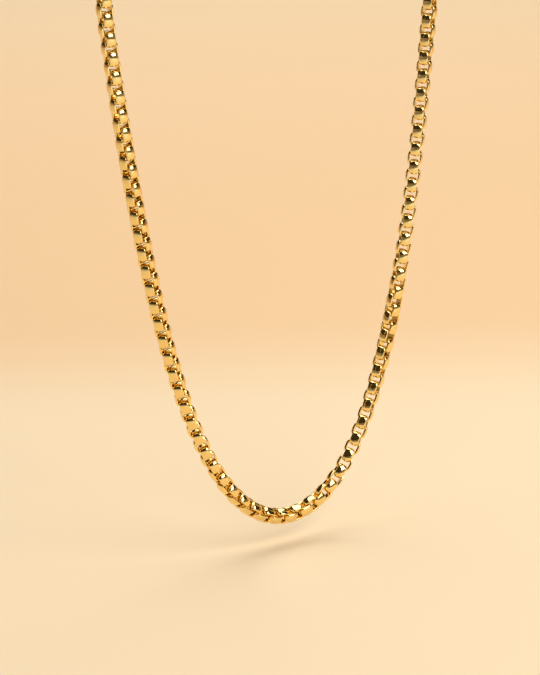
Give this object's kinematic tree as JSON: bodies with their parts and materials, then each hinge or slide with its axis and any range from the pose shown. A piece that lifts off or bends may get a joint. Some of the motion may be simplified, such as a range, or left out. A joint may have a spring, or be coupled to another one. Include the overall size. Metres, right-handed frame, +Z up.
{
  "type": "chain necklace",
  "caption": "Round box chain necklace in polished yellow gold, hanging as a closed loop, with jump rings and a sprung lobster clasp at the nape.",
  "frame": {"origin": "middle of the clasp at the nape, on the line through the clasp's two ends, where the necklace rests at the top of its loop", "axes": "+Z up, X across the loop from strand to strand, the loop hangs in the XZ plane, and -Y is the front"},
  "size_m": [0.099, 0.006, 0.1887],
  "materials": {
    "chain_gold": "polished",
    "ring_gold": "polished",
    "clasp_gold": "polished",
    "spring_steel": "satin"
  },
  "bodies": {
    "clasp": {"clasp_body": "clasp_gold", "clasp_rivet": "clasp_gold", "clasp_spring": "spring_steel"},
    "lever": {"clasp_lever": "clasp_gold"},
    "jump_ring": {"jump_ring": "ring_gold"},
    "catch_ring": {"catch_ring": "ring_gold"},
    "end_ring_left": {"end_ring_left": "ring_gold"},
    "end_ring_right": {"end_ring_right": "ring_gold"},
    "chain_left_01": {"chain_left_01": "chain_gold"},
    "chain_right_01": {"chain_right_01": "chain_gold"},
    "chain_left_02": {"chain_left_02": "chain_gold"},
    "chain_right_02": {"chain_right_02": "chain_gold"},
    "chain_left_03": {"chain_left_03": "chain_gold"},
    "chain_right_03": {"chain_right_03": "chain_gold"},
    "chain_left_04": {"chain_left_04": "chain_gold"},
    "chain_right_04": {"chain_right_04": "chain_gold"},
    "chain_left_05": {"chain_left_05": "chain_gold"},
    "chain_right_05": {"chain_right_05": "chain_gold"},
    "chain_left_06": {"chain_left_06": "chain_gold"},
    "chain_right_06": {"chain_right_06": "chain_gold"},
    "chain_left_07": {"chain_left_07": "chain_gold"},
    "chain_right_07": {"chain_right_07": "chain_gold"},
    "chain_left_08": {"chain_left_08": "chain_gold"},
    "chain_right_08": {"chain_right_08": "chain_gold"},
    "chain_left_09": {"chain_left_09": "chain_gold"},
    "chain_right_09": {"chain_right_09": "chain_gold"},
    "chain_left_10": {"chain_left_10": "chain_gold"},
    "chain_right_10": {"chain_right_10": "chain_gold"},
    "chain_left_11": {"chain_left_11": "chain_gold"},
    "chain_right_11": {"chain_right_11": "chain_gold"},
    "chain_left_12": {"chain_left_12": "chain_gold"},
    "chain_right_12": {"chain_right_12": "chain_gold"},
    "chain_left_13": {"chain_left_13": "chain_gold"},
    "chain_right_13": {"chain_right_13": "chain_gold"},
    "chain_left_14": {"chain_left_14": "chain_gold"},
    "chain_right_14": {"chain_right_14": "chain_gold"},
    "chain_left_15": {"chain_left_15": "chain_gold"},
    "chain_right_15": {"chain_right_15": "chain_gold"},
    "chain_left_16": {"chain_left_16": "chain_gold"},
    "chain_right_16": {"chain_right_16": "chain_gold"},
    "chain_left_17": {"chain_left_17": "chain_gold"},
    "chain_right_17": {"chain_right_17": "chain_gold"},
    "chain_left_18": {"chain_left_18": "chain_gold"},
    "chain_right_18": {"chain_right_18": "chain_gold"},
    "chain_left_19": {"chain_left_19": "chain_gold"},
    "chain_right_19": {"chain_right_19": "chain_gold"},
    "chain_left_20": {"chain_left_20": "chain_gold"},
    "chain_right_20": {"chain_right_20": "chain_gold"},
    "chain_left_21": {"chain_left_21": "chain_gold"},
    "chain_right_21": {"chain_right_21": "chain_gold"},
    "chain_left_22": {"chain_left_22": "chain_gold"},
    "chain_right_22": {"chain_right_22": "chain_gold"},
    "chain_left_23": {"chain_left_23": "chain_gold"},
    "chain_right_23": {"chain_right_23": "chain_gold"}
  },
  "joints": [
    {"name": "lever_press", "type": "hinge", "parent": "clasp", "child": "lever", "pos_m": [-0.00183, 0, 0.00095], "axis": [0, 1, 0], "range_deg": [0, 20], "stiffness_Nm_per_rad": 0.02, "springref_deg": -5.73, "deforming": ["clasp_spring"]},
    {"name": "jump_swing_left", "type": "hinge", "parent": "clasp", "child": "jump_ring", "pos_m": [-0.005, 0, 0], "axis": [1, 0, 0], "range_deg": [-15, 15]},
    {"name": "jump_swing_right", "type": "hinge", "parent": "clasp", "child": "catch_ring", "pos_m": [0.005, 0, 0], "axis": [1, 0, 0], "range_deg": [-15, 15]},
    {"name": "ring_swing_left", "type": "hinge", "parent": "jump_ring", "child": "end_ring_left", "pos_m": [-0.00937, 0, -0.00024], "axis": [-1, 0, 0], "range_deg": [-15, 15]},
    {"name": "ring_swing_right", "type": "hinge", "parent": "catch_ring", "child": "end_ring_right", "pos_m": [0.00937, 0, -0.00024], "axis": [-1, 0, 0], "range_deg": [-15, 15]},
    {"name": "chain_bend_01_left", "type": "hinge", "parent": "end_ring_left", "child": "chain_left_01", "pos_m": [-0.01262, 0, -0.00072], "axis": [1, 0, 0], "range_deg": [-16, 16]},
    {"name": "chain_bend_01_right", "type": "hinge", "parent": "end_ring_right", "child": "chain_right_01", "pos_m": [0.01262, 0, -0.00072], "axis": [1, 0, 0], "range_deg": [-16, 16]},
    {"name": "chain_bend_02_left", "type": "hinge", "parent": "chain_left_01", "child": "chain_left_02", "pos_m": [-0.02148, 0, -0.00349], "axis": [-1, 0, 0], "range_deg": [-16, 16]},
    {"name": "chain_bend_02_right", "type": "hinge", "parent": "chain_right_01", "child": "chain_right_02", "pos_m": [0.02148, 0, -0.00349], "axis": [-1, 0, 0], "range_deg": [-16, 16]},
    {"name": "chain_bend_03_left", "type": "hinge", "parent": "chain_left_02", "child": "chain_left_03", "pos_m": [-0.02951, 0, -0.00814], "axis": [1, 0, 0], "range_deg": [-16, 16]},
    {"name": "chain_bend_03_right", "type": "hinge", "parent": "chain_right_02", "child": "chain_right_03", "pos_m": [0.02951, 0, -0.00814], "axis": [1, 0, 0], "range_deg": [-16, 16]},
    {"name": "chain_bend_04_left", "type": "hinge", "parent": "chain_left_03", "child": "chain_left_04", "pos_m": [-0.03633, 0, -0.01444], "axis": [-1, 0, 0], "range_deg": [-22, 22]},
    {"name": "chain_bend_04_right", "type": "hinge", "parent": "chain_right_03", "child": "chain_right_04", "pos_m": [0.03633, 0, -0.01444], "axis": [-1, 0, 0], "range_deg": [-22, 22]},
    {"name": "chain_bend_05_left", "type": "hinge", "parent": "chain_left_04", "child": "chain_left_05", "pos_m": [-0.04166, 0, -0.02204], "axis": [1, 0, 0], "range_deg": [-22, 22]},
    {"name": "chain_bend_05_right", "type": "hinge", "parent": "chain_right_04", "child": "chain_right_05", "pos_m": [0.04166, 0, -0.02204], "axis": [1, 0, 0], "range_deg": [-22, 22]},
    {"name": "chain_bend_06_left", "type": "hinge", "parent": "chain_left_05", "child": "chain_left_06", "pos_m": [-0.04532, 0, -0.03057], "axis": [-1, 0, 0], "range_deg": [-22, 22]},
    {"name": "chain_bend_06_right", "type": "hinge", "parent": "chain_right_05", "child": "chain_right_06", "pos_m": [0.04532, 0, -0.03057], "axis": [-1, 0, 0], "range_deg": [-22, 22]},
    {"name": "chain_bend_07_left", "type": "hinge", "parent": "chain_left_06", "child": "chain_left_07", "pos_m": [-0.04723, 0, -0.03966], "axis": [1, 0, 0], "range_deg": [-22, 22]},
    {"name": "chain_bend_07_right", "type": "hinge", "parent": "chain_right_06", "child": "chain_right_07", "pos_m": [0.04723, 0, -0.03966], "axis": [1, 0, 0], "range_deg": [-22, 22]},
    {"name": "chain_bend_08_left", "type": "hinge", "parent": "chain_left_07", "child": "chain_left_08", "pos_m": [-0.04744, 0, -0.04895], "axis": [-1, 0, 0], "range_deg": [-22, 22]},
    {"name": "chain_bend_08_right", "type": "hinge", "parent": "chain_right_07", "child": "chain_right_08", "pos_m": [0.04744, 0, -0.04895], "axis": [-1, 0, 0], "range_deg": [-22, 22]},
    {"name": "chain_bend_09_left", "type": "hinge", "parent": "chain_left_08", "child": "chain_left_09", "pos_m": [-0.04648, 0, -0.05819], "axis": [1, 0, 0], "range_deg": [-22, 22]},
    {"name": "chain_bend_09_right", "type": "hinge", "parent": "chain_right_08", "child": "chain_right_09", "pos_m": [0.04648, 0, -0.05819], "axis": [1, 0, 0], "range_deg": [-22, 22]},
    {"name": "chain_bend_10_left", "type": "hinge", "parent": "chain_left_09", "child": "chain_left_10", "pos_m": [-0.04537, 0, -0.06743], "axis": [-1, 0, 0], "range_deg": [-22, 22]},
    {"name": "chain_bend_10_right", "type": "hinge", "parent": "chain_right_09", "child": "chain_right_10", "pos_m": [0.04537, 0, -0.06743], "axis": [-1, 0, 0], "range_deg": [-22, 22]},
    {"name": "chain_bend_11_left", "type": "hinge", "parent": "chain_left_10", "child": "chain_left_11", "pos_m": [-0.04419, 0, -0.07665], "axis": [1, 0, 0], "range_deg": [-22, 22]},
    {"name": "chain_bend_11_right", "type": "hinge", "parent": "chain_right_10", "child": "chain_right_11", "pos_m": [0.04419, 0, -0.07665], "axis": [1, 0, 0], "range_deg": [-22, 22]},
    {"name": "chain_bend_12_left", "type": "hinge", "parent": "chain_left_11", "child": "chain_left_12", "pos_m": [-0.04291, 0, -0.08586], "axis": [-1, 0, 0], "range_deg": [-22, 22]},
    {"name": "chain_bend_12_right", "type": "hinge", "parent": "chain_right_11", "child": "chain_right_12", "pos_m": [0.04291, 0, -0.08586], "axis": [-1, 0, 0], "range_deg": [-22, 22]},
    {"name": "chain_bend_13_left", "type": "hinge", "parent": "chain_left_12", "child": "chain_left_13", "pos_m": [-0.04152, 0, -0.09506], "axis": [1, 0, 0], "range_deg": [-22, 22]},
    {"name": "chain_bend_13_right", "type": "hinge", "parent": "chain_right_12", "child": "chain_right_13", "pos_m": [0.04152, 0, -0.09506], "axis": [1, 0, 0], "range_deg": [-22, 22]},
    {"name": "chain_bend_14_left", "type": "hinge", "parent": "chain_left_13", "child": "chain_left_14", "pos_m": [-0.04001, 0, -0.10423], "axis": [-1, 0, 0], "range_deg": [-22, 22]},
    {"name": "chain_bend_14_right", "type": "hinge", "parent": "chain_right_13", "child": "chain_right_14", "pos_m": [0.04001, 0, -0.10423], "axis": [-1, 0, 0], "range_deg": [-22, 22]},
    {"name": "chain_bend_15_left", "type": "hinge", "parent": "chain_left_14", "child": "chain_left_15", "pos_m": [-0.03834, 0, -0.11338], "axis": [1, 0, 0], "range_deg": [-22, 22]},
    {"name": "chain_bend_15_right", "type": "hinge", "parent": "chain_right_14", "child": "chain_right_15", "pos_m": [0.03834, 0, -0.11338], "axis": [1, 0, 0], "range_deg": [-22, 22]},
    {"name": "chain_bend_16_left", "type": "hinge", "parent": "chain_left_15", "child": "chain_left_16", "pos_m": [-0.03649, 0, -0.1225], "axis": [-1, 0, 0], "range_deg": [-22, 22]},
    {"name": "chain_bend_16_right", "type": "hinge", "parent": "chain_right_15", "child": "chain_right_16", "pos_m": [0.03649, 0, -0.1225], "axis": [-1, 0, 0], "range_deg": [-22, 22]},
    {"name": "chain_bend_17_left", "type": "hinge", "parent": "chain_left_16", "child": "chain_left_17", "pos_m": [-0.0344, 0, -0.13156], "axis": [1, 0, 0], "range_deg": [-22, 22]},
    {"name": "chain_bend_17_right", "type": "hinge", "parent": "chain_right_16", "child": "chain_right_17", "pos_m": [0.0344, 0, -0.13156], "axis": [1, 0, 0], "range_deg": [-22, 22]},
    {"name": "chain_bend_18_left", "type": "hinge", "parent": "chain_left_17", "child": "chain_left_18", "pos_m": [-0.03202, 0, -0.14055], "axis": [-1, 0, 0], "range_deg": [-22, 22]},
    {"name": "chain_bend_18_right", "type": "hinge", "parent": "chain_right_17", "child": "chain_right_18", "pos_m": [0.03202, 0, -0.14055], "axis": [-1, 0, 0], "range_deg": [-22, 22]},
    {"name": "chain_bend_19_left", "type": "hinge", "parent": "chain_left_18", "child": "chain_left_19", "pos_m": [-0.02925, 0, -0.14943], "axis": [1, 0, 0], "range_deg": [-22, 22]},
    {"name": "chain_bend_19_right", "type": "hinge", "parent": "chain_right_18", "child": "chain_right_19", "pos_m": [0.02925, 0, -0.14943], "axis": [1, 0, 0], "range_deg": [-22, 22]},
    {"name": "chain_bend_20_left", "type": "hinge", "parent": "chain_left_19", "child": "chain_left_20", "pos_m": [-0.02594, 0, -0.15812], "axis": [-1, 0, 0], "range_deg": [-22, 22]},
    {"name": "chain_bend_20_right", "type": "hinge", "parent": "chain_right_19", "child": "chain_right_20", "pos_m": [0.02594, 0, -0.15812], "axis": [-1, 0, 0], "range_deg": [-22, 22]},
    {"name": "chain_bend_21_left", "type": "hinge", "parent": "chain_left_20", "child": "chain_left_21", "pos_m": [-0.02188, 0, -0.16648], "axis": [1, 0, 0], "range_deg": [-22, 22]},
    {"name": "chain_bend_21_right", "type": "hinge", "parent": "chain_right_20", "child": "chain_right_21", "pos_m": [0.02188, 0, -0.16648], "axis": [1, 0, 0], "range_deg": [-22, 22]},
    {"name": "chain_bend_22_left", "type": "hinge", "parent": "chain_left_21", "child": "chain_left_22", "pos_m": [-0.01669, 0, -0.17418], "axis": [-1, 0, 0], "range_deg": [-22, 22]},
    {"name": "chain_bend_22_right", "type": "hinge", "parent": "chain_right_21", "child": "chain_right_22", "pos_m": [0.01669, 0, -0.17418], "axis": [-1, 0, 0], "range_deg": [-22, 22]},
    {"name": "chain_bend_23_left", "type": "hinge", "parent": "chain_left_22", "child": "chain_left_23", "pos_m": [-0.00985, 0, -0.18043], "axis": [1, 0, 0], "range_deg": [-16, 16]},
    {"name": "chain_bend_23_right", "type": "hinge", "parent": "chain_right_22", "child": "chain_right_23", "pos_m": [0.00985, 0, -0.18043], "axis": [1, 0, 0], "range_deg": [-16, 16]}
  ],
  "couplings": [
    {"joint": "jump_swing_right", "follows": "jump_swing_left", "ratio": 1},
    {"joint": "ring_swing_right", "follows": "ring_swing_left", "ratio": 1},
    {"joint": "chain_bend_01_right", "follows": "chain_bend_01_left", "ratio": 1},
    {"joint": "chain_bend_02_right", "follows": "chain_bend_02_left", "ratio": 1},
    {"joint": "chain_bend_03_right", "follows": "chain_bend_03_left", "ratio": 1},
    {"joint": "chain_bend_04_right", "follows": "chain_bend_04_left", "ratio": 1},
    {"joint": "chain_bend_05_right", "follows": "chain_bend_05_left", "ratio": 1},
    {"joint": "chain_bend_06_right", "follows": "chain_bend_06_left", "ratio": 1},
    {"joint": "chain_bend_07_right", "follows": "chain_bend_07_left", "ratio": 1},
    {"joint": "chain_bend_08_right", "follows": "chain_bend_08_left", "ratio": 1},
    {"joint": "chain_bend_09_right", "follows": "chain_bend_09_left", "ratio": 1},
    {"joint": "chain_bend_10_right", "follows": "chain_bend_10_left", "ratio": 1},
    {"joint": "chain_bend_11_right", "follows": "chain_bend_11_left", "ratio": 1},
    {"joint": "chain_bend_12_right", "follows": "chain_bend_12_left", "ratio": 1},
    {"joint": "chain_bend_13_right", "follows": "chain_bend_13_left", "ratio": 1},
    {"joint": "chain_bend_14_right", "follows": "chain_bend_14_left", "ratio": 1},
    {"joint": "chain_bend_15_right", "follows": "chain_bend_15_left", "ratio": 1},
    {"joint": "chain_bend_16_right", "follows": "chain_bend_16_left", "ratio": 1},
    {"joint": "chain_bend_17_right", "follows": "chain_bend_17_left", "ratio": 1},
    {"joint": "chain_bend_18_right", "follows": "chain_bend_18_left", "ratio": 1},
    {"joint": "chain_bend_19_right", "follows": "chain_bend_19_left", "ratio": 1},
    {"joint": "chain_bend_20_right", "follows": "chain_bend_20_left", "ratio": 1},
    {"joint": "chain_bend_21_right", "follows": "chain_bend_21_left", "ratio": 1},
    {"joint": "chain_bend_22_right", "follows": "chain_bend_22_left", "ratio": 1},
    {"joint": "chain_bend_23_right", "follows": "chain_bend_23_left", "ratio": 1}
  ]
}
